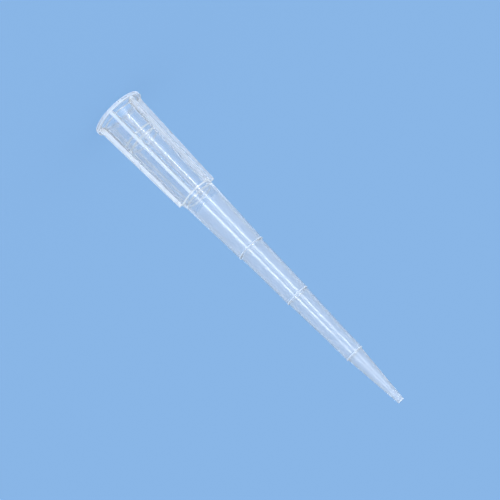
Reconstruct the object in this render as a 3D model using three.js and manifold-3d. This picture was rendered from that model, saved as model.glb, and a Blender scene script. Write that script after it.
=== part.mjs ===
// A 200 µl graduated pipette tip, moulded in one piece of natural polypropylene.
//
// Millimetres, +Z up. The tip stands on its mouth: z = 0 is the mouth face, and the bore runs
// up the Z axis to the dispensing point. Six ribs stiffen the collar and end in the square
// shoulder by which a tip hangs in its rack. Below the shoulder three raised rings mark 100,
// 50 and 10 µl, and the outside steps in at each of them, as the mould's insert does.

import * as THREE from 'three';
import { mergeVertices } from 'three/addons/utils/BufferGeometryUtils.js';
import Module from 'manifold-3d';

// Outside lengths, in order from the mouth face to the point.
const COLLAR_LENGTH = 15.65;        // mouth face to the shoulder
const UPPER_BODY_LENGTH = 10.45;    // shoulder to the 100 µl ring
const MIDDLE_BODY_LENGTH = 8.8;     // 100 µl ring to the 50 µl ring
const LOWER_BODY_LENGTH = 10.6;     // 50 µl ring to the 10 µl ring
const POINT_LENGTH = 8.5;           // 10 µl ring to the dispensing point
const WAIST_DROP = 6.3;             // 50 µl ring to the change of draft below it

// Bore lengths, in order from the mouth face.
const LEAD_IN_DEPTH = 0.85;         // cone that guides the pipette's nozzle in
const ENTRY_LENGTH = 2.35;          // wide entry behind the lead-in
const LIP_LENGTH = 1.45;            // smooth swell down to the seal band
const SEAL_BAND_LENGTH = 0.9;       // band that grips the nozzle
const SOCKET_LENGTH = 6.45;         // cone that the rest of the nozzle fills
const THROAT_LENGTH = 3.0;          // steeper cone behind the nozzle's end
const CHAMBER_LENGTH = 2.9;         // headspace down to the ledge
const LEDGE_RUN = 0.1;              // height of the ledge's small chamfer
const POINT_LAND = 1.0;             // straight stretch of bore at the dispensing point

// Bore radii.
const ENTRY_RADIUS = 2.62;          // behind the lead-in
const LEAD_IN_FLARE = 0.68;         // added to the entry at the mouth face
const ENTRY_TAPER = 0.1;            // lost along the entry
const LIP_RISE = 0.12;              // lost along the lip
const SEAL_STEP = 0.065;            // square step from the lip to the seal band
const SOCKET_STEP = 0.055;          // square step from the seal band to the socket
const SOCKET_TAPER = 0.14;          // lost along the socket
const THROAT_TAPER = 0.14;          // lost along the throat
const CHAMBER_TAPER = 0.07;         // lost along the chamber
const LEDGE_STEP = 0.14;            // lost at the ledge
const BORE_AT_100 = 1.447;
const BORE_AT_50 = 1.26;
const BORE_AT_10 = 0.94;
const BORE_AT_POINT = 0.25;

// Walls, from the bore to the outside.
const COLLAR_WALL_AT_MOUTH = 0.305;
const COLLAR_WALL_AT_SHOULDER = 0.573;
const BODY_WALL_AT_SHOULDER = 0.413;
const WALL_ABOVE_100 = 0.57;
const WALL_BELOW_100 = 0.43;
const WALL_ABOVE_50 = 0.43;
const WALL_BELOW_50 = 0.347;
const WALL_AT_WAIST = 0.305;
const WALL_ABOVE_10 = 0.357;
const WALL_BELOW_10 = 0.245;
const WALL_AT_POINT = 0.209;

// Mouth flange.
const FLANGE_THICKNESS = 0.5;
const FLANGE_OVERHANG = 0.185;      // past the rib tips
const FLANGE_EDGE_ROUND = 0.09;
const FLANGE_FILLET = 0.5;          // where the collar's wall runs into the flange

// Ribs.
const RIB_COUNT = 6;
const RIB_HEIGHT_AT_MOUTH = 0.71;   // from the collar's wall to the rib's tip
const RIB_HEIGHT_AT_SHOULDER = 0.54;
const RIB_TIP_THICKNESS = 0.48;
const RIB_ROOT_THICKNESS = 0.6;
const RIB_EDGE_ROUND = 0.06;
const RIB_ROOT_SINK = 0.15;         // how deep the rib starts inside the collar's wall
const RIB_FLARE_LENGTH = 0.8;       // over which the rib tips flare out to the flange's edge

// Graduation rings.
const RING_WIDTH = 0.12;
const RING_RISE = 0.045;            // above the wall over it
const RING_SLOPE = 0.05;            // length of the small slope on both sides of a ring

// Facets.
const FACETS_ROUND = 72;            // a multiple of the number of ribs, so that the ribs look alike
const ARC_FACETS = 5;

// Stations on the axis, each from the sizes above.
const shoulderZ = COLLAR_LENGTH;
const ring100Z = shoulderZ + UPPER_BODY_LENGTH;
const ring50Z = ring100Z + MIDDLE_BODY_LENGTH;
const waistZ = ring50Z + WAIST_DROP;
const ring10Z = ring50Z + LOWER_BODY_LENGTH;
const pointZ = ring10Z + POINT_LENGTH;

/** A point of a profile: radius and height. */
const at = (radius, z) => new THREE.Vector2(radius, z);

/** The value on the straight line from a at z = from to b at z = to. */
const along = (a, b, from, to, z) => a + (b - a) * (z - from) / (to - from);

/** The bore's profile from the mouth face to the point: radius and height of each corner. */
function boreProfile() {
  const corners = [at(ENTRY_RADIUS + LEAD_IN_FLARE, 0)];
  let radius = ENTRY_RADIUS;
  let z = LEAD_IN_DEPTH;
  corners.push(at(radius, z));

  const run = (length, taper) => {
    z += length;
    radius -= taper;
    corners.push(at(radius, z));
  };

  run(ENTRY_LENGTH, ENTRY_TAPER);
  const lipStart = at(radius, z);
  for (let i = 1; i <= ARC_FACETS; i += 1) {
    const share = i / ARC_FACETS;
    corners.push(at(lipStart.x - LIP_RISE * share * share, lipStart.y + LIP_LENGTH * share));
  }
  radius = lipStart.x - LIP_RISE;
  z = lipStart.y + LIP_LENGTH;
  run(0, SEAL_STEP);
  run(SEAL_BAND_LENGTH, 0);
  run(0, SOCKET_STEP);
  run(SOCKET_LENGTH, SOCKET_TAPER);
  run(THROAT_LENGTH, THROAT_TAPER);
  run(CHAMBER_LENGTH, CHAMBER_TAPER);
  run(LEDGE_RUN, LEDGE_STEP);
  corners.push(at(BORE_AT_100, ring100Z));
  corners.push(at(BORE_AT_50, ring50Z));
  corners.push(at(BORE_AT_10, ring10Z));
  corners.push(at(BORE_AT_POINT, pointZ - POINT_LAND));
  corners.push(at(BORE_AT_POINT, pointZ));
  return corners;
}

const bore = boreProfile();

/** The bore's radius at a height. */
function boreRadius(z) {
  const next = bore.findIndex((corner) => corner.y > z);
  const [low, high] = [bore[next - 1], bore[next]];
  return along(low.x, high.x, low.y, high.y, z);
}

// The collar's outside is one straight cone from the mouth to the shoulder.
const collarRadiusAtEntry = ENTRY_RADIUS + COLLAR_WALL_AT_MOUTH;
const collarRadiusAtShoulder = boreRadius(shoulderZ) + COLLAR_WALL_AT_SHOULDER;
const collarRadius = (z) => along(
  collarRadiusAtEntry, collarRadiusAtShoulder, LEAD_IN_DEPTH, shoulderZ, z,
);

// The rib tips lie on a steeper cone.
const ribHeight = (z) => along(RIB_HEIGHT_AT_MOUTH, RIB_HEIGHT_AT_SHOULDER, 0, shoulderZ, z);
const ribTipRadius = (z) => collarRadius(z) + ribHeight(z);
const flangeRadius = ribTipRadius(0) + FLANGE_OVERHANG;

/** A quarter turn from one angle to another, without its first point. */
function arc(centre, radius, fromAngle, toAngle) {
  const points = [];
  for (let i = 1; i <= ARC_FACETS; i += 1) {
    const angle = along(fromAngle, toAngle, 0, ARC_FACETS, i);
    points.push(at(centre.x + radius * Math.cos(angle), centre.y + radius * Math.sin(angle)));
  }
  return points;
}

/** The flange: its mouth face, its rounded rim and the fillet that runs up the collar. */
function flangeProfile() {
  const round = FLANGE_EDGE_ROUND;
  const rimCentre = flangeRadius - round;
  const filletTop = FLANGE_THICKNESS + FLANGE_FILLET;
  const filletCentre = at(collarRadius(filletTop) + FLANGE_FILLET, filletTop);
  return [
    at(0, 0),
    at(rimCentre, 0),
    ...arc(at(rimCentre, round), round, -Math.PI / 2, 0),
    at(flangeRadius, FLANGE_THICKNESS - round),
    ...arc(at(rimCentre, FLANGE_THICKNESS - round), round, 0, Math.PI / 2),
    at(filletCentre.x, FLANGE_THICKNESS),
    ...arc(filletCentre, FLANGE_FILLET, -Math.PI / 2, -Math.PI),
  ];
}

/** A graduation ring: a fine bead, and the step down to the narrower body below it. */
function ringProfile(z, boreThere, wallAbove, wallBelow) {
  const above = boreThere + wallAbove;
  return [
    at(above, z - RING_WIDTH - RING_SLOPE),
    at(above + RING_RISE, z - RING_WIDTH),
    at(above + RING_RISE, z),
    at(boreThere + wallBelow, z + RING_SLOPE),
  ];
}

/** The whole outside apart from the ribs, from the axis at the mouth to the axis at the point. */
function outsideProfile() {
  return [
    ...flangeProfile(),
    at(collarRadiusAtShoulder, shoulderZ),
    at(boreRadius(shoulderZ) + BODY_WALL_AT_SHOULDER, shoulderZ),
    ...ringProfile(ring100Z, BORE_AT_100, WALL_ABOVE_100, WALL_BELOW_100),
    ...ringProfile(ring50Z, BORE_AT_50, WALL_ABOVE_50, WALL_BELOW_50),
    at(boreRadius(waistZ) + WALL_AT_WAIST, waistZ),
    ...ringProfile(ring10Z, BORE_AT_10, WALL_ABOVE_10, WALL_BELOW_10),
    at(BORE_AT_POINT + WALL_AT_POINT, pointZ),
    at(0, pointZ),
  ];
}

/** The solid that the bore leaves empty, run out past both ends so that it cuts clean through. */
function boreCutProfile() {
  const overrun = FLANGE_THICKNESS;
  return [
    at(0, -overrun),
    at(bore[0].x, -overrun),
    ...bore,
    at(BORE_AT_POINT, pointZ + overrun),
    at(0, pointZ + overrun),
  ];
}

/** Turns a profile about Z, with its heights along +Z. */
function turned(profile) {
  return new THREE.LatheGeometry(profile, FACETS_ROUND).rotateX(Math.PI / 2);
}

/** One rib on the +X side: its side view pushed out to its thickness, then drafted. */
function ribGeometry() {
  const start = FLANGE_THICKNESS / 2;
  const flareTop = FLANGE_THICKNESS + RIB_FLARE_LENGTH;
  const flangeUnderside = at(flangeRadius - FLANGE_EDGE_ROUND, FLANGE_THICKNESS);

  const side = new THREE.Shape();
  side.moveTo(collarRadius(start) - RIB_ROOT_SINK, start);
  side.lineTo(flangeUnderside.x, start);
  side.lineTo(flangeUnderside.x, flangeUnderside.y);
  side.quadraticCurveTo(
    ribTipRadius(FLANGE_THICKNESS), FLANGE_THICKNESS + RIB_FLARE_LENGTH / 4,
    ribTipRadius(flareTop), flareTop,
  );
  side.lineTo(ribTipRadius(shoulderZ), shoulderZ);
  side.lineTo(collarRadius(shoulderZ) - RIB_ROOT_SINK, shoulderZ);
  side.closePath();

  const geometry = new THREE.ExtrudeGeometry(side, {
    depth: RIB_TIP_THICKNESS - 2 * RIB_EDGE_ROUND,
    curveSegments: ARC_FACETS,
    bevelThickness: RIB_EDGE_ROUND,
    bevelSize: RIB_EDGE_ROUND,
    bevelOffset: -RIB_EDGE_ROUND,
    bevelSegments: 2,
  });
  geometry.translate(0, 0, RIB_EDGE_ROUND - RIB_TIP_THICKNESS / 2);
  geometry.rotateX(Math.PI / 2);

  // Draft: the rib thickens evenly from its tip to its root.
  const position = geometry.getAttribute('position');
  for (let i = 0; i < position.count; i += 1) {
    const z = position.getZ(i);
    const depth = (ribTipRadius(z) - position.getX(i)) / ribHeight(z);
    const growth = (RIB_ROOT_THICKNESS / RIB_TIP_THICKNESS - 1) * Math.max(depth, 0);
    position.setY(i, position.getY(i) * (1 + growth));
  }
  return geometry;
}

const wasm = await Module();
wasm.setup();

/** A closed three.js geometry as a solid that can be joined and cut. */
function solidOf(geometry) {
  const bare = geometry.clone();
  bare.deleteAttribute('normal');
  bare.deleteAttribute('uv');
  const merged = mergeVertices(bare, 1e-5);
  const corners = [];
  const index = merged.index.array;
  for (let i = 0; i < index.length; i += 3) {
    const [a, b, c] = index.subarray(i, i + 3);
    if (a !== b && b !== c && c !== a) {
      corners.push(a, b, c);
    }
  }
  return new wasm.Manifold(new wasm.Mesh({
    numProp: 3,
    vertProperties: new Float32Array(merged.getAttribute('position').array),
    triVerts: new Uint32Array(corners),
  }));
}

/** A solid as a three.js geometry with its normals. */
function geometryOf(solid) {
  const { vertProperties, triVerts } = solid.getMesh();
  const geometry = new THREE.BufferGeometry();
  geometry.setAttribute('position', new THREE.BufferAttribute(vertProperties, 3));
  geometry.setIndex(new THREE.BufferAttribute(triVerts, 1));
  geometry.computeVertexNormals();
  return geometry;
}

/** The moulded tip: turned outside, ribs round the collar, bore through it all. */
function tipGeometry() {
  let tip = solidOf(turned(outsideProfile()));
  for (let i = 0; i < RIB_COUNT; i += 1) {
    const rib = ribGeometry().rotateZ(2 * Math.PI * i / RIB_COUNT);
    tip = tip.add(solidOf(rib));
  }
  return geometryOf(tip.subtract(solidOf(turned(boreCutProfile()))));
}

// Natural polypropylene: clear and colourless, with a faint milky haze.
const polypropylene = new THREE.MeshStandardMaterial({
  color: 0xe6ecf4,
  roughness: 0.22,
  metalness: 0,
  transparent: true,
  opacity: 0.45,
});

const tip = new THREE.Mesh(tipGeometry(), polypropylene);
tip.name = 'pipette_tip';

const group = new THREE.Group();
group.add(tip);

export default group;
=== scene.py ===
"""The looks of a clear, graduated pipette tip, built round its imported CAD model.

The tip is one injection moulding of natural polypropylene. Its visible mesh is one sixth of the
tip, with one rib, that a Geometry Nodes tree repeats about the axis and welds into a closed body.
All lengths in the classes are in metres, written as millimetres times MM.
"""

import logging
import math
from dataclasses import dataclass, replace
from enum import Enum
from typing import Sequence

import bpy
import numpy as np
from mathutils import Matrix, Vector


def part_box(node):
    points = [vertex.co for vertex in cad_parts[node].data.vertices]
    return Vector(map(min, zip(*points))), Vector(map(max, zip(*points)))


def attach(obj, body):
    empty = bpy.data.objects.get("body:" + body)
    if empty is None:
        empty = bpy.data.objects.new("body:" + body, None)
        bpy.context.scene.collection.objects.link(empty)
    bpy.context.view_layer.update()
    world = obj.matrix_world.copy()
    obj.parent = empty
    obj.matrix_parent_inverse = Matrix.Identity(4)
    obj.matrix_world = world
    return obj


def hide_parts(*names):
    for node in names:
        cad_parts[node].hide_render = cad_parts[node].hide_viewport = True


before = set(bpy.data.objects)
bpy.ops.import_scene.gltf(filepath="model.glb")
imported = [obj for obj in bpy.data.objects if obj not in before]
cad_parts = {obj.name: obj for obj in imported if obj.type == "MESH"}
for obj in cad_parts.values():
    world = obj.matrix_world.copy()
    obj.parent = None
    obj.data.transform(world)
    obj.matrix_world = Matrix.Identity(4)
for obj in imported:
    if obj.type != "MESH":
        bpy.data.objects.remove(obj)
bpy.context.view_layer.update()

LOG = logging.getLogger("pipette_tip")
MM = 0.001
NODE = "pipette_tip"
BODY = "root"
FINISH_ATTRIBUTE = "finish"
UP = Vector((0, 0, 1))


class Finish(Enum):
    """The finishes that the mould leaves on the tip, each on its own faces.

    CAVITY is the outside of the body from the bore's ledge to the last ring, CORE the bore, POINT
    the frosted stretch from that ring to the dispensing point, COLLAR the mouth face, the
    collar's wall and the body up to the ledge, and RIB the ribs and the flange. EDGE is no finish
    of the mould but a painted highlight: nearly opaque, matt white bands on rounded edges, steps
    and one line in the bore, which stand in for the light that these clear edges gather.
    """

    CAVITY = 0
    CORE = 1
    POINT = 2
    COLLAR = 3
    RIB = 4
    EDGE = 5


@dataclass(frozen=True)
class ProfilePoint:
    """A point of a finished profile.

    Attributes:
        radius: Distance from the axis.
        z: Height above the mouth face.
        painted_highlight: Whether the wall from here to the next point carries the painted
            highlight, the white EDGE band.
    """

    radius: float
    z: float
    painted_highlight: bool = False


@dataclass(frozen=True)
class Corner:
    """A corner of a turned profile.

    Attributes:
        radius: Distance from the axis.
        z: Height above the mouth face.
        round: Radius of the arc that replaces the corner, or 0 for a bare point.
        painted_highlight: How far the painted highlight, the white EDGE band, runs along the wall
            on both sides of
        the corner. From a bare point, any value over 0 puts it on the wall up to the next point.
    """

    radius: float
    z: float
    round: float = 0.0
    painted_highlight: float = 0.0


@dataclass(frozen=True)
class Rounding:
    """The way in which the corners of a turned profile become arcs.

    Attributes:
        turn_step: The largest turn from one facet of an arc to the next, in radians.
        least_turn: The least turn at a corner that gets an arc, in radians.
        least_facets: The least number of facets in an arc.
        arc_share: The largest share of a straight that the arc at one end takes up.
        support_share: The largest share of a straight between a corner and its support point.
        support_reach: Distance of a support point from its corner, in lengths of the tangent.
        support_margin: What is added to that distance.
    """

    turn_step: float = math.radians(20)
    least_turn: float = math.radians(0.5)
    least_facets: int = 2
    arc_share: float = 0.42
    support_share: float = 0.49
    support_reach: float = 1.35
    support_margin: float = 0.01 * MM

    def profile(self, corners: Sequence[Corner]) -> list[ProfilePoint]:
        """Rounds the corners of a turned profile.

        Each arc gets a support point on both of its straights, so that a smooth surface bends
        only within the arc.

        Args:
            corners: The profile's corners, in order. The first and last are kept as they are.

        Returns:
            The points of the finished profile.
        """
        points = [np.array((corner.radius, corner.z)) for corner in corners]
        finished = [ProfilePoint(*points[0])]
        for before, here, after, corner in zip(points, points[1:], points[2:], corners[1:]):
            into, out = here - before, after - here
            run_in, run_out = float(np.linalg.norm(into)), float(np.linalg.norm(out))
            into, out = into / run_in, out / run_out
            turn = math.atan2(into[0] * out[1] - into[1] * out[0], float(into @ out))
            painted_highlight = corner.painted_highlight > 0
            if corner.round == 0 or abs(turn) < self.least_turn:
                finished.append(ProfilePoint(*here, painted_highlight))
                continue
            bend = math.tan(abs(turn) / 2)
            tangent = min(corner.round * bend, self.arc_share * min(run_in, run_out))
            radius = tangent / bend
            side = np.array((-into[1], into[0])) * math.copysign(1, turn)
            centre = here - into * tangent + side * radius
            reach = max(self.support_reach * tangent + self.support_margin, corner.painted_highlight)
            start = here - into * min(reach, self.support_share * run_in)
            finished.append(ProfilePoint(*start, painted_highlight))
            facets = max(self.least_facets, math.ceil(abs(turn) / self.turn_step))
            spoke = -side * radius
            for i in range(facets + 1):
                cos, sin = math.cos(turn * i / facets), math.sin(turn * i / facets)
                finished.append(ProfilePoint(
                    centre[0] + spoke[0] * cos - spoke[1] * sin,
                    centre[1] + spoke[0] * sin + spoke[1] * cos,
                    painted_highlight,
                ))
            finished.append(ProfilePoint(*(here + out * min(reach, self.support_share * run_out))))
        finished.append(ProfilePoint(*points[-1]))
        return finished


def quarter_turn(facets: int) -> list[float]:
    """The angles from 0 to a right angle between the facets of a quarter of a circle."""
    return [math.pi / 2 * i / facets for i in range(facets + 1)]


@dataclass
class Bore:
    """The stepped bore, which the mould's core pin leaves: socket, chamber and fine point.

    Each stretch is given by the height at which it ends and by its radius there. The names that
    end in round give the radius of a rounded corner, and the rest that belong to a corner give how
    far its painted highlight runs: the white EDGE band that stands in for the light a clear edge
    gathers.

    Attributes:
        entry_radius: Radius of the entry where the lead-in ends.
        lead_in_flare: How much wider the lead-in is at the mouth face.
        lead_in_depth: Height at which the lead-in ends.
        entry_end: Height at which the conical entry ends.
        entry_end_radius: Radius there.
        lip_end: Height at which the curved lip ends, at a square step.
        lip_radius: Radius there.
        seal_radius: Radius of the seal band.
        seal_end: Height at which the seal band ends, at a square step.
        socket_radius: Radius of the conical socket at that step.
        socket_end: Height at which the socket ends.
        socket_end_radius: Radius there.
        throat_end: Height at which the throat ends.
        throat_radius: Radius there.
        highlight_line: Height of a painted highlight line: a thin white EDGE band on the bore wall
            that stands in for the bright arc of a step in the bore, which the mesh leaves out.
        highlight_line_width: Width of that band.
        chamber_end: Height at which the chamber ends, at a soft ledge.
        chamber_radius: Radius there.
        ledge_run: Length of the ledge, were it sharp.
        ledge_spread: How much further the soft ledge reaches to each side.
        ledge_radius: Radius past the ledge.
        point_land: Length of the straight stretch at the point.
        point_radius: Radius of that stretch.
        lip_steps: Number of straights in the lip's curve.
    """

    entry_radius: float = 2.62 * MM
    lead_in_flare: float = 0.68 * MM
    lead_in_depth: float = 0.85 * MM
    entry_end: float = 3.2 * MM
    entry_end_radius: float = 2.52 * MM
    lip_end: float = 4.65 * MM
    lip_radius: float = 2.40 * MM
    seal_radius: float = 2.335 * MM
    seal_end: float = 5.55 * MM
    socket_radius: float = 2.28 * MM
    socket_end: float = 12.0 * MM
    socket_end_radius: float = 2.14 * MM
    throat_end: float = 15.0 * MM
    throat_radius: float = 2.0 * MM
    highlight_line: float = 16.2 * MM
    highlight_line_width: float = 0.25 * MM
    chamber_end: float = 17.9 * MM
    chamber_radius: float = 1.93 * MM
    ledge_run: float = 0.1 * MM
    ledge_spread: float = 0.35 * MM
    ledge_radius: float = 1.79 * MM
    point_land: float = 1.0 * MM
    point_radius: float = 0.25 * MM
    mouth_round: float = 0.06 * MM
    lead_in_round: float = 0.1 * MM
    lead_in_highlight: float = 0.05 * MM
    step_round: float = 0.025 * MM
    step_highlight: float = 0.15 * MM
    socket_end_round: float = 0.5 * MM
    throat_round: float = 2.0 * MM
    ledge_round: float = 4.0 * MM
    ring_round: float = 3.0 * MM
    point_round: float = 2.0 * MM
    point_edge_round: float = 0.02 * MM
    lip_steps: int = 7

    @property
    def mouth_radius(self) -> float:
        """Radius of the lead-in at the mouth face."""
        return self.entry_radius + self.lead_in_flare

    def chamber_wall(self, z: float) -> float:
        """The chamber's radius at a height."""
        share = (z - self.throat_end) / (self.chamber_end - self.throat_end)
        return self.throat_radius + share * (self.chamber_radius - self.throat_radius)

    def corners(self, rings: Sequence["VolumeRing"], length: float) -> list[Corner]:
        """Lists the bore's corners from the mouth face to the point.

        Args:
            rings: The volume rings, in order from the mouth, which give the bore's width there.
            length: The tip's overall length.

        Returns:
            The corners of the bore's profile.
        """
        step, painted_highlight = self.step_round, self.step_highlight
        found = [
            Corner(self.mouth_radius, 0, self.mouth_round, self.lead_in_highlight),
            Corner(self.entry_radius, self.lead_in_depth, self.lead_in_round, self.lead_in_highlight),
            Corner(self.entry_end_radius, self.entry_end),
        ]
        for i in range(1, self.lip_steps):
            share = i / self.lip_steps
            radius = self.entry_end_radius + (self.lip_radius - self.entry_end_radius) * share**2
            found.append(Corner(radius, self.entry_end + (self.lip_end - self.entry_end) * share))
        # The wall is laid from the point to the mouth, so the painted highlight line starts at its
        # top.
        line_top = self.highlight_line + self.highlight_line_width / 2
        line_foot = self.highlight_line - self.highlight_line_width / 2
        ledge_top = self.chamber_end + self.ledge_run + self.ledge_spread
        found += [
            Corner(self.lip_radius, self.lip_end, step, painted_highlight),
            Corner(self.seal_radius, self.lip_end, step, painted_highlight),
            Corner(self.seal_radius, self.seal_end, step, painted_highlight),
            Corner(self.socket_radius, self.seal_end, step, painted_highlight),
            Corner(self.socket_end_radius, self.socket_end, self.socket_end_round),
            Corner(self.throat_radius, self.throat_end, self.throat_round),
            Corner(self.chamber_wall(line_foot), line_foot),
            Corner(self.chamber_wall(line_top), line_top, painted_highlight=self.highlight_line_width),
            Corner(self.chamber_radius, self.chamber_end - self.ledge_spread, self.ledge_round),
            Corner(self.ledge_radius, ledge_top, self.ledge_round),
        ]
        found += [Corner(ring.bore_radius, ring.z, self.ring_round) for ring in rings]
        found += [
            Corner(self.point_radius, length - self.point_land, self.point_round),
            Corner(self.point_radius, length, self.point_edge_round),
        ]
        return found


@dataclass
class VolumeRing:
    """One raised ring that marks a volume, with the step to the narrower body past it.

    Attributes:
        z: Height of the ring's edge on the point's side.
        bore_radius: Radius of the bore there.
        wide_radius: Radius of the body on the mouth's side of the ring.
        narrow_radius: Radius of the body on the point's side.
        width: Width of the ring's top.
        rise: Height of the top over the wider body.
        slope: Length of the slope on each side of the top.
        edge_round: Radius of the ring's rounded edges.
        edge_highlight: How far the painted highlight, the white EDGE band, runs along the wall
            from the
        top's corners.
    """

    z: float
    bore_radius: float
    wide_radius: float
    narrow_radius: float
    width: float = 0.12 * MM
    rise: float = 0.045 * MM
    slope: float = 0.05 * MM
    edge_round: float = 0.03 * MM
    edge_highlight: float = 0.05 * MM

    def corners(self) -> list[Corner]:
        """Lists the ring's corners.

        Returns:
            The corners, from the mouth's side to the point's side.
        """
        top, edge, painted_highlight = self.wide_radius + self.rise, self.edge_round, self.edge_highlight
        return [
            Corner(self.wide_radius, self.z - self.width - self.slope, edge),
            Corner(top, self.z - self.width, edge, painted_highlight),
            Corner(top, self.z, edge, painted_highlight),
            Corner(self.narrow_radius, self.z + self.slope, edge),
        ]


@dataclass
class Collar:
    """The collar: its wall, the flange at the mouth and one of the ribs with its share of both.

    Attributes:
        flange_radius: Outer radius of the flange.
        length: From the mouth face to the shoulder.
        wall_radius_at_mouth: Outer radius of the wall, taken on to the mouth face.
        wall_radius_at_shoulder: Outer radius of the wall at the shoulder.
        rib_count: Number of ribs.
        rib_height_at_mouth: Height of a rib over the wall, taken on to the mouth face.
        rib_height_at_shoulder: Height of a rib over the wall at the shoulder.
        rib_tip_thickness: Thickness of a rib at its tip.
        rib_root_thickness: Thickness of a rib at the wall.
        rib_edge_round: Radius of the rib's rounded edges.
        rib_root_fillet: Size of the fillet between the rib and the wall.
        least_round: The least radius that an edge keeps where the outline is drawn in.
        fillet_share: The largest share of the rib's height that its fillet takes up.
        rib_flare_length: Length over which the rib flares out to the flange.
        rib_flare_clearance: How far inside the flange's rounded edge the flare ends.
        flange_thickness: Thickness of the flange.
        flange_edge_round: Radius of the flange's rounded edges.
        flange_edge_highlight: How far the painted highlight, the white EDGE band, runs along the
            flange
        from its corners.
        flange_fillet: Radius of the fillet between the flange and the wall.
        underside_margin: How far outside the ribs the flange's own profile ends.
        shoulder_round: Radius of the rounded edge at the shoulder.
        tip_facets: Facets across half of a rib's tip.
        edge_facets: Facets round a rib's edge.
        flank_facets: Facets along a rib's flank.
        fillet_facets: Facets round the fillet at a rib's root.
        wall_facets: Facets of the wall from that fillet to the sector's side.
        flange_fillet_facets: Rows of facets round the flange's fillet.
        flare_rows: Rows from there to the end of the flare.
        plain_rows: Rows from the flare to the shoulder.
        shoulder_rows: Rows of points round the shoulder's edge.
    """

    flange_radius: float
    length: float = 15.65 * MM
    wall_radius_at_mouth: float = 2.946 * MM
    wall_radius_at_shoulder: float = 2.559 * MM
    rib_count: int = 6
    rib_height_at_mouth: float = 0.71 * MM
    rib_height_at_shoulder: float = 0.54 * MM
    rib_tip_thickness: float = 0.48 * MM
    rib_root_thickness: float = 0.6 * MM
    rib_edge_round: float = 0.07 * MM
    rib_root_fillet: float = 0.13 * MM
    least_round: float = 0.01 * MM
    fillet_share: float = 0.45
    rib_flare_length: float = 0.8 * MM
    rib_flare_clearance: float = 0.02 * MM
    flange_thickness: float = 0.5 * MM
    flange_edge_round: float = 0.09 * MM
    flange_edge_highlight: float = 0.12 * MM
    flange_fillet: float = 0.5 * MM
    underside_margin: float = 0.01 * MM
    shoulder_round: float = 0.05 * MM
    tip_facets: int = 2
    edge_facets: int = 4
    flank_facets: int = 3
    fillet_facets: int = 5
    wall_facets: int = 12
    flange_fillet_facets: int = 8
    flare_rows: int = 3
    plain_rows: int = 8
    shoulder_rows: int = 5

    def wall_radius(self, z: float) -> float:
        """The radius of the collar's plain wall at a height."""
        share = z / self.length
        return self.wall_radius_at_mouth + share * (
            self.wall_radius_at_shoulder - self.wall_radius_at_mouth
        )

    def rib_radius(self, z: float) -> float:
        """Works out the radius of the rib's tip, with its flare towards the flange.

        Args:
            z: Height above the mouth face.

        Returns:
            The radius there.
        """
        share = z / self.length
        height = self.rib_height_at_mouth + share * (
            self.rib_height_at_shoulder - self.rib_height_at_mouth
        )
        reach = max(0.0, 1 - (z - self.flange_thickness) / self.rib_flare_length)
        rim = self.flange_radius - self.flange_edge_round - self.rib_flare_clearance
        flare = rim - self.wall_radius(self.flange_thickness) - self.rib_height_at_mouth
        return self.wall_radius(z) + height + flare * reach**2

    def outline(self, wall: float, tip: float, inset: float = 0.0) -> np.ndarray:
        """Draws one sector of the ribbed section, from one side of the rib to the other.

        Args:
            wall: Radius of the collar's wall.
            tip: Radius of the rib's tip.
            inset: How far the whole outline is drawn in, for a rounded edge.

        Returns:
            X and Y of each point, with the rib on the +X side.
        """
        wall, tip = wall - inset, tip - inset
        half_tip = self.rib_tip_thickness / 2 - inset
        half_root = self.rib_root_thickness / 2 - inset
        edge = max(self.rib_edge_round - inset, self.least_round)
        fillet = min(self.rib_root_fillet + inset, self.fillet_share * (tip - wall))
        draft = (half_root - half_tip) / (tip - wall)

        def flank_y(radius: float) -> float:
            """The flank's distance from the rib's middle at a radius."""
            return half_tip + draft * (tip - radius)

        half: list[tuple[float, float]] = []
        for i in range(self.tip_facets):
            half.append((tip, (half_tip - edge) * i / self.tip_facets))
        for angle in quarter_turn(self.edge_facets):
            radius = tip - edge + edge * math.cos(angle)
            half.append((radius, flank_y(tip - edge) - edge + edge * math.sin(angle)))
        top, foot = tip - edge, wall + fillet
        for i in range(1, self.flank_facets + 1):
            radius = top + (foot - top) * i / self.flank_facets
            half.append((radius, flank_y(radius)))
        start = np.array((foot, flank_y(foot)))
        corner_y = flank_y(wall)
        corner = np.array((math.sqrt(wall**2 - corner_y**2), corner_y))
        end_angle = math.asin(corner_y / wall) + fillet / wall
        end = wall * np.array((math.cos(end_angle), math.sin(end_angle)))
        for i in range(1, self.fillet_facets + 1):
            t = i / self.fillet_facets
            half.append(tuple((1 - t) ** 2 * start + 2 * t * (1 - t) * corner + t**2 * end))
        sector_end = math.pi / self.rib_count
        for i in range(1, self.wall_facets + 1):
            angle = end_angle + (sector_end - end_angle) * i / self.wall_facets
            half.append((wall * math.cos(angle), wall * math.sin(angle)))
        upper = np.array(half)
        lower = upper[:0:-1] * (1, -1)
        return np.vstack((lower, upper))

    def rib_columns(self) -> range:
        """Works out which columns of a sector's faces lie on the rib.

        Returns:
            The numbers of the columns.
        """
        half = self.tip_facets + self.edge_facets + self.flank_facets
        middle = half + self.fillet_facets + self.wall_facets
        return range(middle - half, middle + half)

    def row(self, z: float, wall: float, tip: float, inset: float = 0.0) -> np.ndarray:
        """One row of the ribbed grid at a height."""
        section = self.outline(wall, tip, inset)
        return np.column_stack((section, np.full(len(section), z)))

    def angles(self) -> np.ndarray:
        """The angles of a sector's columns, which the turned rows share."""
        section = self.outline(self.wall_radius(self.length), self.rib_radius(self.length))
        return np.arctan2(section[:, 1], section[:, 0])

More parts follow.
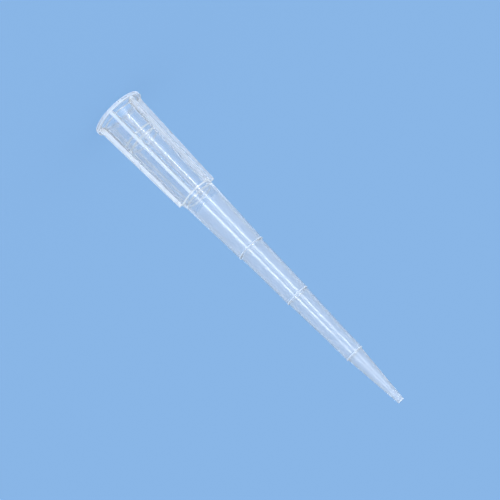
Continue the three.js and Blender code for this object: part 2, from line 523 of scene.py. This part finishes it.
    def flange_corners(self, mouth_radius: float) -> list[Corner]:
        """Lists the flange's corners.

        Args:
            mouth_radius: Radius of the bore at the mouth face.

        Returns:
            The corners, from the middle of the mouth face to the flange's underside.
        """
        middle = (mouth_radius + self.flange_radius) / 2
        underside = self.rib_radius(self.flange_thickness) + self.underside_margin
        edge, painted_highlight = self.flange_edge_round, self.flange_edge_highlight
        return [
            Corner(middle, 0),
            Corner(self.flange_radius, 0, edge, painted_highlight),
            Corner(self.flange_radius, self.flange_thickness, edge, painted_highlight),
            Corner(underside, self.flange_thickness),
        ]

    def ribbed_rows(self) -> list[np.ndarray]:
        """Builds the rows of the ribbed stretch.

        Returns:
            The rows of points, from the flange's underside to the shoulder.
        """
        rows = []
        base = self.flange_thickness
        fillet = self.flange_fillet
        for angle in quarter_turn(self.flange_fillet_facets):
            z = base + fillet * (1 - math.cos(angle))
            wall = self.wall_radius(z) + fillet * (1 - math.sin(angle))
            rows.append(self.row(z, wall, self.rib_radius(z)))
        flare_top = base + self.rib_flare_length
        edge = self.shoulder_round
        heights = [
            *np.linspace(base + fillet, flare_top, self.flare_rows + 1)[1:],
            *np.linspace(flare_top, self.length - 2 * edge, self.plain_rows + 1)[1:],
        ]
        for z in heights:
            rows.append(self.row(z, self.wall_radius(z), self.rib_radius(z)))
        for angle in quarter_turn(self.shoulder_rows - 1):
            z = self.length - edge + edge * math.sin(angle)
            inset = edge * (1 - math.cos(angle))
            rows.append(self.row(z, self.wall_radius(z), self.rib_radius(z), inset))
        return rows


def feed(socket: bpy.types.NodeSocket, value: object) -> None:
    """Feeds an input of a node.

    Args:
        socket: The input.
        value: The socket that feeds it, or its plain value.
    """
    if isinstance(value, bpy.types.NodeSocket):
        socket.id_data.links.new(value, socket)
    else:
        socket.default_value = value


def feed_named(node: bpy.types.Node, **values: object) -> None:
    """Feeds the inputs of a node that are given by name.

    Args:
        node: The node.
        **values: For each input, named with underscores for spaces, a socket or a plain value.
    """
    for name, value in values.items():
        feed(node.inputs[name.replace("_", " ")], value)


def add_node(tree: bpy.types.NodeTree, kind: str, **values: object) -> bpy.types.Node:
    """Adds a node to a tree of any kind.

    Args:
        tree: The tree that gets the node.
        kind: The node's type.
        **values: What feeds its inputs, as feed_named takes it.

    Returns:
        The new node.
    """
    made = tree.nodes.new(kind)
    feed_named(made, **values)
    return made


def maths(
    tree: bpy.types.NodeTree, operation: str, *values: bpy.types.NodeSocket | float,
) -> bpy.types.NodeSocket:
    """Adds a Math node to a tree of any kind.

    Args:
        tree: The tree that gets the node.
        operation: What the node works out.
        *values: For each of its inputs in order, a number or the socket that feeds it.

    Returns:
        The socket with the result.
    """
    made = add_node(tree, "ShaderNodeMath")
    made.operation = operation
    for socket, value in zip(made.inputs, values):
        feed(socket, value)
    return made.outputs["Value"]


def mix_shaders(tree: bpy.types.NodeTree, *values: bpy.types.NodeSocket) -> bpy.types.NodeSocket:
    """Adds a Mix Shader node to a material or a world.

    Args:
        tree: The tree that gets the node.
        *values: The share of the second shader, the first shader and the second shader.

    Returns:
        The socket with the mixed shader.
    """
    made = add_node(tree, "ShaderNodeMixShader")
    for socket, value in zip(made.inputs, values):
        feed(socket, value)
    return made.outputs["Shader"]


def add_object(name: str, data: bpy.types.ID) -> bpy.types.Object:
    """Adds an object to the scene.

    Args:
        name: The object's name.
        data: Its mesh, lamp or camera.

    Returns:
        The new object.
    """
    made = bpy.data.objects.new(name, data)
    bpy.context.scene.collection.objects.link(made)
    return made


def placement(right: Vector, up: Vector, back: Vector, place: Vector) -> Matrix:
    """Works out the matrix that places a camera or a lamp.

    Args:
        right: The direction of its X axis.
        up: The direction of its Y axis.
        back: The direction of its Z axis, from which it looks or shines away.
        place: Its place.

    Returns:
        The matrix.
    """
    return Matrix.Translation(place) @ Matrix((right, up, back)).transposed().to_4x4()


class GeometryTree:
    """A small builder for a Geometry Nodes tree with named inputs."""

    def __init__(self, name: str) -> None:
        """Starts an empty tree that takes in and gives out one geometry.

        Args:
            name: The tree's name.
        """
        self.tree = bpy.data.node_groups.new(name, "GeometryNodeTree")
        self.sockets: dict[str, str] = {}
        self.add_input("Geometry", "NodeSocketGeometry")
        kind = "NodeSocketGeometry"
        self.tree.interface.new_socket("Geometry", in_out="OUTPUT", socket_type=kind)
        self.source = self.node("NodeGroupInput")
        self.sink = self.node("NodeGroupOutput")

    def add_input(self, name: str, kind: str) -> None:
        """Adds a named input and notes its identifier."""
        socket = self.tree.interface.new_socket(name, in_out="INPUT", socket_type=kind)
        self.sockets[name] = socket.identifier

    def node(self, kind: str, **values: object) -> bpy.types.Node:
        """Adds a node, whose inputs are fed as add_node feeds them."""
        return add_node(self.tree, kind, **values)


def repeat_about_axis() -> GeometryTree:
    """Builds the tree that repeats a sector about Z, welds it and gives each face its finish.

    Returns:
        The tree, with the inputs Geometry, Count, Weld Distance and one material for each finish.
    """
    tree = GeometryTree("Repeat About Axis")
    tree.add_input("Count", "NodeSocketInt")
    tree.add_input("Weld Distance", "NodeSocketFloat")
    for finish in Finish:
        tree.add_input(finish.name.title(), "NodeSocketMaterial")
    given = tree.source.outputs

    # The first finish goes on the whole sector, so that no material slot stays empty.
    first, *others = Finish
    sector = tree.node(
        "GeometryNodeSetMaterial",
        Geometry=given["Geometry"],
        Material=given[first.name.title()],
    )
    points = tree.node("GeometryNodePoints", Count=given["Count"])
    index = tree.node("GeometryNodeInputIndex").outputs["Index"]
    whole_turns = maths(tree.tree, "MULTIPLY", index, math.tau)
    turn = maths(tree.tree, "DIVIDE", whole_turns, given["Count"])
    euler = tree.node("ShaderNodeCombineXYZ", Z=turn).outputs["Vector"]
    rotation = tree.node("FunctionNodeEulerToRotation", Euler=euler).outputs["Rotation"]
    copies = tree.node(
        "GeometryNodeInstanceOnPoints",
        Points=points.outputs[0],
        Instance=sector.outputs["Geometry"],
        Rotation=rotation,
    )
    real = tree.node("GeometryNodeRealizeInstances", Geometry=copies.outputs["Instances"])
    welded = tree.node(
        "GeometryNodeMergeByDistance",
        Geometry=real.outputs["Geometry"],
        Distance=given["Weld Distance"],
    )
    result = tree.node("GeometryNodeSetShadeSmooth", Geometry=welded.outputs["Geometry"])
    attribute = tree.node("GeometryNodeInputNamedAttribute", Name=FINISH_ATTRIBUTE)
    attribute.data_type = "INT"
    for finish in others:
        chosen = tree.node("FunctionNodeCompare")
        chosen.data_type = "INT"
        chosen.operation = "EQUAL"
        whole_numbers = [socket for socket in chosen.inputs if socket.enabled]
        feed(whole_numbers[0], next(socket for socket in attribute.outputs if socket.enabled))
        feed(whole_numbers[1], finish.value)
        result = tree.node(
            "GeometryNodeSetMaterial",
            Geometry=result.outputs["Geometry"],
            Selection=chosen.outputs["Result"],
            Material=given[finish.name.title()],
        )
    feed_named(tree.sink, Geometry=result.outputs["Geometry"])
    return tree


@dataclass(frozen=True)
class MouldedSkin:
    """The skin that a mould leaves on clear plastic, with dull patches and a faint waviness.

    Both are drawn out along the tip, as melt flow and the pull from the mould leave them.

    Attributes:
        patch_size: Size of the dull patches along each axis.
        patch_detail: How many finer layers the patches have.
        patch_levels: The levels of noise between which a patch goes from clear to dull.
        wave_size: Size of the waves along each axis.
        wave_detail: How many finer layers the waves have.
    """

    patch_size: tuple[float, float, float] = (1.6 * MM, 1.6 * MM, 5.0 * MM)
    patch_detail: float = 3.0
    patch_levels: tuple[float, float] = (0.35, 0.65)
    wave_size: tuple[float, float, float] = (0.9 * MM, 0.9 * MM, 6.0 * MM)
    wave_detail: float = 2.0

    def group(self) -> bpy.types.ShaderNodeTree:
        """Builds the shader group that puts out the skin's roughness and normal.

        Returns:
            The group, with the inputs Roughness, Patchiness and Waviness.
        """
        group = bpy.data.node_groups.new("Moulded Skin", "ShaderNodeTree")
        for name in ("Roughness", "Patchiness", "Waviness"):
            group.interface.new_socket(name, in_out="INPUT", socket_type="NodeSocketFloat")
        group.interface.new_socket("Roughness", in_out="OUTPUT", socket_type="NodeSocketFloat")
        group.interface.new_socket("Normal", in_out="OUTPUT", socket_type="NodeSocketVector")
        given = add_node(group, "NodeGroupInput").outputs
        place = add_node(group, "ShaderNodeTexCoord").outputs["Object"]

        def noise(size: Sequence[float], detail: float) -> bpy.types.NodeSocket:
            """Adds noise of a size.

            Args:
                size: Size of its patches along each axis.
                detail: How many finer layers it has.

            Returns:
                The socket with the noise, from 0 to 1.
            """
            scale = [1 / length for length in size]
            mapping = add_node(group, "ShaderNodeMapping", Vector=place, Scale=scale)
            turned = mapping.outputs["Vector"]
            made = add_node(group, "ShaderNodeTexNoise", Vector=turned, Scale=1.0, Detail=detail)
            return made.outputs["Fac"]

        patches = add_node(
            group,
            "ShaderNodeMapRange",
            Value=noise(self.patch_size, self.patch_detail),
            From_Min=self.patch_levels[0],
            From_Max=self.patch_levels[1],
            To_Min=0.0,
            To_Max=given["Patchiness"],
        )
        waves = add_node(
            group,
            "ShaderNodeBump",
            Strength=1.0,
            Distance=given["Waviness"],
            Height=noise(self.wave_size, self.wave_detail),
        )
        add_node(
            group,
            "NodeGroupOutput",
            Roughness=maths(group, "ADD", given["Roughness"], patches.outputs["Result"]),
            Normal=waves.outputs["Normal"],
        )
        return group


@dataclass(frozen=True)
class ClearPlastic:
    """Natural polypropylene with the skin that one part of the mould leaves on it.

    Attributes:
        name: The material's name.
        colour: The plastic's colour.
        clearness: How much of the light the plastic lets through instead of scattering it.
        roughness: The skin's least roughness.
        patchiness: How much rougher the skin's dull patches are.
        waviness: Depth of the skin's long waves.
        ior: The plastic's refractive index.
    """

    name: str
    colour: tuple[float, float, float]
    clearness: float
    roughness: float
    patchiness: float
    waviness: float
    ior: float = 1.49

    def material(self, skin: bpy.types.ShaderNodeTree) -> bpy.types.Material:
        """Builds the material.

        Args:
            skin: The shared group of moulded skin.

        Returns:
            The material.
        """
        made = bpy.data.materials.new(self.name)
        made.use_nodes = True
        group = add_node(made.node_tree, "ShaderNodeGroup")
        group.node_tree = skin
        feed_named(
            group,
            Roughness=self.roughness,
            Patchiness=self.patchiness,
            Waviness=self.waviness,
        )
        feed_named(
            made.node_tree.nodes["Principled BSDF"],
            Base_Color=(*self.colour, 1),
            Transmission_Weight=self.clearness,
            IOR=self.ior,
            Roughness=group.outputs["Roughness"],
            Normal=group.outputs["Normal"],
        )
        return made


FINISHES = {
    Finish.CAVITY: ClearPlastic(
        name="polished_wall",
        colour=(0.91, 0.955, 1.0),
        clearness=0.72,
        roughness=0.12,
        patchiness=0.04,
        waviness=0.0001 * MM,
    ),
    Finish.CORE: ClearPlastic(
        name="bore_wall",
        colour=(0.97, 0.98, 1.0),
        clearness=0.97,
        roughness=0.12,
        patchiness=0.05,
        waviness=0.0001 * MM,
    ),
    Finish.POINT: ClearPlastic(
        name="frosted_point",
        colour=(0.91, 0.955, 1.0),
        clearness=0.72,
        roughness=0.28,
        patchiness=0.04,
        waviness=0.0002 * MM,
    ),
    Finish.COLLAR: ClearPlastic(
        name="collar_wall",
        colour=(0.91, 0.955, 1.0),
        clearness=0.82,
        roughness=0.12,
        patchiness=0.04,
        waviness=0.0001 * MM,
    ),
    Finish.RIB: ClearPlastic(
        name="matt_rib",
        colour=(0.9, 0.945, 1.0),
        clearness=0.55,
        roughness=0.25,
        patchiness=0.1,
        waviness=0.0,
    ),
    # EDGE is a painted highlight, not a finish of the mould: nearly opaque, matt, pale blue-white
    # plastic that stands in for the light which the clear tip's rounded edges and steps gather.
    Finish.EDGE: ClearPlastic(
        name="edge_painted_highlight",
        colour=(0.84, 0.92, 1.0),
        clearness=0.15,
        roughness=0.3,
        patchiness=0.1,
        waviness=0.0,
    ),
}


@dataclass(frozen=True)
class Band:
    """A band of the sector's faces.

    Attributes:
        row: The points along the band's first side.
        finish: The finish of its faces beside the rib.
        rib_finish: The finish of its faces on the rib's columns.
    """

    row: np.ndarray
    finish: Finish
    rib_finish: Finish


@dataclass
class PipetteTip:
    """The whole tip, joined from its collar, its graduated body and its bore.

    Attributes:
        collar: The collar.
        bore: The bore.
        rings: The volume rings, in order from the mouth.
        length: Overall length.
        body_radius: Radius of the body at the shoulder.
        shoulder_fillet: Radius of the fillet between the body and the shoulder.
        shoulder_land: Width of the shoulder's turned part, in radii of that fillet.
        shoulder_highlight: How far the painted highlight, the white EDGE band, runs from the
            shoulder's
        inner corner.
        waist_z: Height of the change of draft between the last two rings.
        waist_radius: Radius of the body there.
        waist_round: Radius of the round that softens the change of draft.
        point_radius: Outer radius at the point.
        point_edge_round: Radius of the point's rounded edge.
        point_edge_highlight: How far the painted highlight, the white EDGE band, runs from the
            point's
        corner.
        weld_distance: Distance within which the sector's copies are welded.
        rounding: The way in which the corners of the profiles become arcs.
    """

    collar: Collar
    bore: Bore
    rings: list[VolumeRing]
    length: float
    body_radius: float = 2.397 * MM
    shoulder_fillet: float = 0.07 * MM
    shoulder_land: float = 1.3
    shoulder_highlight: float = 0.1 * MM
    waist_z: float = 41.2 * MM
    waist_radius: float = 1.375 * MM
    waist_round: float = 4.0 * MM
    point_radius: float = 0.459 * MM
    point_edge_round: float = 0.04 * MM
    point_edge_highlight: float = 0.06 * MM
    weld_distance: float = 0.0005 * MM
    rounding: Rounding = Rounding()

    @classmethod
    def from_frame(cls, node: str) -> "PipetteTip":
        """Takes the overall length and the flange's radius from the CAD node.

        Args:
            node: The CAD node that the tip replaces.

        Returns:
            The tip's sub-assemblies, ready to build.
        """
        low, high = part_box(node)
        rings = [
            VolumeRing(
                z=26.10 * MM,
                bore_radius=1.447 * MM,
                wide_radius=2.017 * MM,
                narrow_radius=1.877 * MM,
            ),
            VolumeRing(
                z=34.90 * MM,
                bore_radius=1.260 * MM,
                wide_radius=1.690 * MM,
                narrow_radius=1.607 * MM,
            ),
            VolumeRing(
                z=45.50 * MM,
                bore_radius=0.940 * MM,
                wide_radius=1.297 * MM,
                narrow_radius=1.185 * MM,
            ),
        ]
        return cls(Collar(flange_radius=high.x), Bore(), rings, length=high.z - low.z)

    def turned_row(self, point: ProfilePoint) -> np.ndarray:
        """Builds the grid's row on a turned stretch.

        Args:
            point: The point of the stretch's profile.

        Returns:
            The row of points.
        """
        angles = self.collar.angles()
        across = point.radius * np.column_stack((np.cos(angles), np.sin(angles)))
        return np.column_stack((across, np.full(len(angles), point.z)))

    def body_corners(self) -> list[Corner]:
        """Lists the corners of the outside of the body.

        Returns:
            The corners, from the shoulder to the middle of the point's end.
        """
        shoulder, neck, first = self.collar.length, self.bore.chamber_end, self.rings[0]
        share = (neck - shoulder) / (first.z - shoulder)
        neck_radius = self.body_radius + share * (first.wide_radius - self.body_radius)
        found = [
            Corner(self.body_radius + self.shoulder_land * self.shoulder_fillet, shoulder),
            Corner(self.body_radius, shoulder, self.shoulder_fillet, self.shoulder_highlight),
            Corner(neck_radius, neck),
        ]
        for ring in self.rings[:-1]:
            found += ring.corners()
        found.append(Corner(self.waist_radius, self.waist_z, self.waist_round))
        found += self.rings[-1].corners()
        found += [
            Corner(self.point_radius, self.length, self.point_edge_round, self.point_edge_highlight),
            Corner((self.point_radius + self.bore.point_radius) / 2, self.length),
        ]
        return found

    def body_finish(self, z: float) -> Finish:
        """Chooses the finish of the body's outside, which is the collar's up to the bore's ledge.

        Args:
            z: Height above the mouth face.

        Returns:
            The finish there.
        """
        if z < self.bore.chamber_end:
            return Finish.COLLAR
        return Finish.POINT if z >= self.rings[-1].z else Finish.CAVITY

    def bands(self) -> list[Band]:
        """Builds the sector's bands once round the wall.

        Returns:
            The bands, from the mouth face along the outside and back to it along the bore.
        """
        flange = self.collar.flange_corners(self.bore.mouth_radius)
        body = self.body_corners()
        bands = []
        # Faces at a marked corner get EDGE, the painted highlight: a white band that stands in for
        # the light a clear edge gathers.
        for point in self.rounding.profile(flange):
            plain_finish = Finish.RIB if point.z > 0 else Finish.COLLAR
            finish = Finish.EDGE if point.painted_highlight else plain_finish
            bands.append(Band(self.turned_row(point), finish, finish))
        ribbed = self.collar.ribbed_rows()
        for row in ribbed[:-self.collar.shoulder_rows]:
            bands.append(Band(row, Finish.COLLAR, Finish.RIB))
        # The shoulder's rounded edge is all painted highlight, the white EDGE band.
        for row in ribbed[-self.collar.shoulder_rows:]:
            bands.append(Band(row, Finish.EDGE, Finish.EDGE))
        for point in self.rounding.profile(body):
            finish = Finish.EDGE if point.painted_highlight else self.body_finish(point.z)
            bands.append(Band(self.turned_row(point), finish, finish))
        bore = [body[-1], *reversed(self.bore.corners(self.rings, self.length)), flange[0]]
        for point in self.rounding.profile(bore)[1:-1]:
            finish = Finish.EDGE if point.painted_highlight else Finish.CORE
            bands.append(Band(self.turned_row(point), finish, finish))
        return bands

    def sector(self) -> bpy.types.Object:
        """Builds one sector of the tip as an open grid that runs once round the wall.

        Returns:
            The sector's object, with the finish of each face in an attribute.
        """
        bands = self.bands()
        columns = len(bands[0].row)
        rib = self.collar.rib_columns()
        faces, kinds = [], []
        for i, band in enumerate(bands):
            here, after = i * columns, (i + 1) % len(bands) * columns
            for j in range(columns - 1):
                faces.append((here + j, here + j + 1, after + j + 1, after + j))
                kinds.append((band.rib_finish if j in rib else band.finish).value)
        mesh = bpy.data.meshes.new("tip_sector")
        mesh.from_pydata(np.vstack([band.row for band in bands]).tolist(), [], faces)
        attribute = mesh.attributes.new(FINISH_ATTRIBUTE, "INT", "FACE")
        attribute.data.foreach_set("value", kinds)
        return add_object("tip_sector", mesh)

    def build(self) -> bpy.types.Object:
        """Repeats the sector about the axis and turns the result into a plain mesh.

        Returns:
            The finished tip.
        """
        sector = self.sector()
        tree = repeat_about_axis()
        modifier = sector.modifiers.new("repeat", "NODES")
        modifier.node_group = tree.tree
        modifier[tree.sockets["Count"]] = self.collar.rib_count
        modifier[tree.sockets["Weld Distance"]] = self.weld_distance
        skin = MouldedSkin().group()
        for finish, plastic in FINISHES.items():
            modifier[tree.sockets[finish.name.title()]] = plastic.material(skin)
        bpy.context.view_layer.update()
        evaluated = sector.evaluated_get(bpy.context.evaluated_depsgraph_get())
        mesh = bpy.data.meshes.new_from_object(evaluated)
        mesh.name = "clear_tip"
        bpy.data.objects.remove(sector)
        return add_object("clear_tip", mesh)


@dataclass(frozen=True)
class SoftBox:
    """A soft studio lamp that stands upright about the tip, placed by its bearing from the camera.

    Attributes:
        bearing: Degrees round the tip from the camera, positive anticlockwise from above.
        distance: From the tip's axis.
        width: Across.
        bottom: Height of the lower edge. A lamp may hang below the floor, which casts no shadow.
        top: Height of the upper edge.
        radiance: Brightness of the lamp's face, where 1 is white.
        gleam_only: Whether the lamp makes only gleams and lights nothing by diffuse light.
    """

    bearing: float
    distance: float
    width: float
    bottom: float
    top: float
    radiance: float
    gleam_only: bool = False


BROAD_BOX = SoftBox(
    bearing=-27,
    distance=220 * MM,
    width=150 * MM,
    bottom=-95 * MM,
    top=160 * MM,
    radiance=1.5,
)
STRIP_BOX = SoftBox(
    bearing=-31,
    distance=215 * MM,
    width=14 * MM,
    bottom=-60 * MM,
    top=80 * MM,
    radiance=24.0,
    gleam_only=True,
)
LOW_BOX = SoftBox(
    bearing=-140,
    distance=220 * MM,
    width=200 * MM,
    bottom=-150 * MM,
    top=-27 * MM,
    radiance=1.0,
)


@dataclass
class Studio:
    """The camera, the soft lamps, the pale floor and the pale surroundings.

    Attributes:
        aim_height: Height of the aim, the point of the tip's axis that the camera goes round.
        azimuth: Degrees about the axis from +X to the camera.
        elevation: Degrees from the level up to the camera.
        distance: From the aim to the camera.
        roll: Degrees from the right of the picture to the tip's axis, as the camera sees it.
        shift_along: How far along the axis the middle of the picture lies from the aim.
        shift_across: How far across the axis it lies.
        lens: Focal length of the lens, in millimetres.
        sensor_width: Width of the camera's sensor, in millimetres.
        clip_start: Distance from which the camera sees.
        clip_end: Distance to which it sees.
        floor_size: Length of the floor's sides.
        floor_colour: The floor's colour.
        floor_roughness: The floor's roughness.
        floor_glow: The share of its own even colour in what the camera sees of the floor.
        world_strength: Brightness of the white surroundings.
        turned_white: The share of white in what light meets once the plastic has turned it back.
        boxes: The soft lamps: two broad ones, two narrow ones for the gleams, and two low ones
            behind the tip.
    """

    aim_height: float = 27.47 * MM
    azimuth: float = -70.5
    elevation: float = 10.66
    distance: float = 226.6 * MM
    roll: float = 45.52
    shift_along: float = -1.32 * MM
    shift_across: float = 0.27 * MM
    lens: float = 124.6
    sensor_width: float = 36.0
    clip_start: float = 10 * MM
    clip_end: float = 10.0
    floor_size: float = 3.0
    floor_colour: tuple[float, float, float] = (0.26, 0.485, 0.83)
    floor_roughness: float = 0.9
    floor_glow: float = 0.6
    world_strength: float = 0.9
    turned_white: float = 0.25
    boxes: tuple[SoftBox, ...] = (
        BROAD_BOX,
        replace(BROAD_BOX, bearing=21, width=110 * MM),
        STRIP_BOX,
        replace(STRIP_BOX, bearing=18.5),
        LOW_BOX,
        replace(LOW_BOX, bearing=140),
    )

    @property
    def seen_colour(self) -> tuple[float, float, float]:
        """The colour that the lit floor has in the distance, for whatever shows past it."""
        level = self.floor_glow + (1 - self.floor_glow) * self.world_strength
        return tuple(level * channel for channel in self.floor_colour)

    def view_axes(self) -> tuple[Vector, Vector, Vector, Vector]:
        """Works out the aim point and the directions of the view.

        Returns:
            The aim point, the direction to the camera, the tip's axis as the camera sees it and
            the direction across it.
        """
        turn, lift = math.radians(self.azimuth), math.radians(self.elevation)
        to_camera = Vector((
            math.cos(lift) * math.cos(turn), math.cos(lift) * math.sin(turn), math.sin(lift),
        ))
        along = (UP - UP.dot(to_camera) * to_camera).normalized()
        across = (-to_camera).cross(along)
        return self.aim_height * UP, to_camera, along, across

    def add_camera(self) -> None:
        """Adds the camera."""
        aim, to_camera, along, across = self.view_axes()
        place = aim + self.distance * to_camera
        target = aim + along * self.shift_along + across * self.shift_across
        angle = math.radians(self.roll)
        right = math.cos(angle) * along - math.sin(angle) * across
        back = (place - target).normalized()
        right = (right - right.dot(back) * back).normalized()
        data = bpy.data.cameras.new("camera")
        data.lens = self.lens
        data.sensor_width = self.sensor_width
        data.clip_start = self.clip_start
        data.clip_end = self.clip_end
        camera = add_object("camera", data)
        camera.matrix_world = placement(right, back.cross(right), back, place)
        bpy.context.scene.camera = camera

    def add_lamps(self, floor: bpy.types.Object) -> None:
        """Adds the soft boxes, each upright and facing the tip's axis.

        They reach below the floor, so they leave it out and it stays even. They light the plastic
        and make gleams on it, and it is seen through without them.

        Args:
            floor: The floor, which only the surroundings light.
        """
        unlit = bpy.data.collections.new("without_lamp_light")
        unlit.objects.link(floor)
        unlit.collection_objects[0].light_linking.link_state = "EXCLUDE"
        for number, box in enumerate(self.boxes):
            bearing = math.radians(self.azimuth + box.bearing)
            outward = Vector((math.cos(bearing), math.sin(bearing), 0))
            height = box.top - box.bottom
            lamp = bpy.data.lights.new(f"soft_box_{number}", "AREA")
            lamp.shape = "RECTANGLE"
            lamp.size = box.width
            lamp.size_y = height
            lamp.energy = box.radiance * math.pi * box.width * height
            holder = add_object(lamp.name, lamp)
            place = box.distance * outward + (box.top + box.bottom) / 2 * UP
            holder.matrix_world = placement(UP.cross(outward), UP, outward, place)
            holder.light_linking.receiver_collection = unlit
            holder.visible_camera = False
            holder.visible_transmission = False
            holder.visible_diffuse = not box.gleam_only

    def floor_material(self) -> bpy.types.Material:
        """Builds the floor's material.

        The camera sees the floor mostly at its own even colour and partly as it is lit, which
        keeps the tip's shadow.

        Returns:
            The material.
        """
        made = bpy.data.materials.new("floor")
        made.use_nodes = True
        tree = made.node_tree
        colour = (*self.floor_colour, 1)
        lit = tree.nodes["Principled BSDF"]
        feed_named(lit, Base_Color=colour, Roughness=self.floor_roughness, Specular_IOR_Level=0.0)
        even = add_node(tree, "ShaderNodeEmission", Color=colour, Strength=1.0)
        rays = add_node(tree, "ShaderNodeLightPath").outputs
        share = maths(tree, "MULTIPLY", rays["Is Camera Ray"], self.floor_glow)
        surface = mix_shaders(tree, share, lit.outputs["BSDF"], even.outputs["Emission"])
        feed_named(tree.nodes["Material Output"], Surface=surface)
        return made

    def add_floor(self) -> bpy.types.Object:
        """Adds the pale floor that the tip stands on.

        Gleams and bent light pass it, and meet the lamps and the pale surroundings.

        Returns:
            The floor.
        """
        half = self.floor_size / 2
        corners = [(-half, -half, 0), (half, -half, 0), (half, half, 0), (-half, half, 0)]
        mesh = bpy.data.meshes.new("floor")
        mesh.from_pydata(corners, [], [(0, 1, 2, 3)])
        mesh.materials.append(self.floor_material())
        floor = add_object("floor", mesh)
        floor.visible_glossy = False
        floor.visible_transmission = False
        floor.visible_shadow = False
        return floor

    def add_world(self) -> None:
        """Adds white surroundings that light the tip, and that it and the camera see as pale.

        Light that reaches a dull surface by way of clear plastic is white light too, so only a
        ray that no dull surface has scattered sees the pale colour. Light that the plastic turns
        back inside it comes from all round, so a part of it is white.
        """
        world = bpy.data.worlds.new("surroundings")
        world.use_nodes = True
        tree = world.node_tree
        light = tree.nodes["Background"]
        feed_named(light, Color=(1, 1, 1, 1), Strength=self.world_strength)
        pale_colour = (*self.seen_colour, 1)
        seen = add_node(tree, "ShaderNodeBackground", Color=pale_colour, Strength=1.0)
        rays = add_node(tree, "ShaderNodeLightPath").outputs
        seeing = maths(tree, "MAXIMUM", rays["Is Camera Ray"], rays["Is Glossy Ray"])
        seeing = maths(tree, "MAXIMUM", seeing, rays["Is Transmission Ray"])
        unscattered = maths(tree, "LESS_THAN", rays["Diffuse Depth"], 0.5)
        seeing = maths(tree, "MULTIPLY", seeing, unscattered)
        turned = maths(tree, "MULTIPLY", rays["Glossy Depth"], rays["Transmission Depth"])
        turned = maths(tree, "MINIMUM", turned, 1.0)
        pale = maths(tree, "MULTIPLY_ADD", turned, -self.turned_white, 1.0)
        share = maths(tree, "MULTIPLY", seeing, pale)
        surface = mix_shaders(tree, share, light.outputs["Background"], seen.outputs["Background"])
        feed_named(tree.nodes["World Output"], Surface=surface)
        bpy.context.scene.world = world

    def build(self) -> None:
        """Builds the whole studio."""
        self.add_camera()
        self.add_lamps(self.add_floor())
        self.add_world()
        bpy.context.scene.view_settings.view_transform = "Standard"


def main() -> None:
    """Builds the studio and the tip."""
    logging.basicConfig(level=logging.INFO, format="%(name)s: %(message)s")
    Studio().build()
    tip = PipetteTip.from_frame(NODE).build()
    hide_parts(NODE)
    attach(tip, BODY)
    mesh = tip.data
    LOG.info("%s: %d faces in %d finishes", tip.name, len(mesh.polygons), len(mesh.materials))


if __name__ == "__main__":
    main()
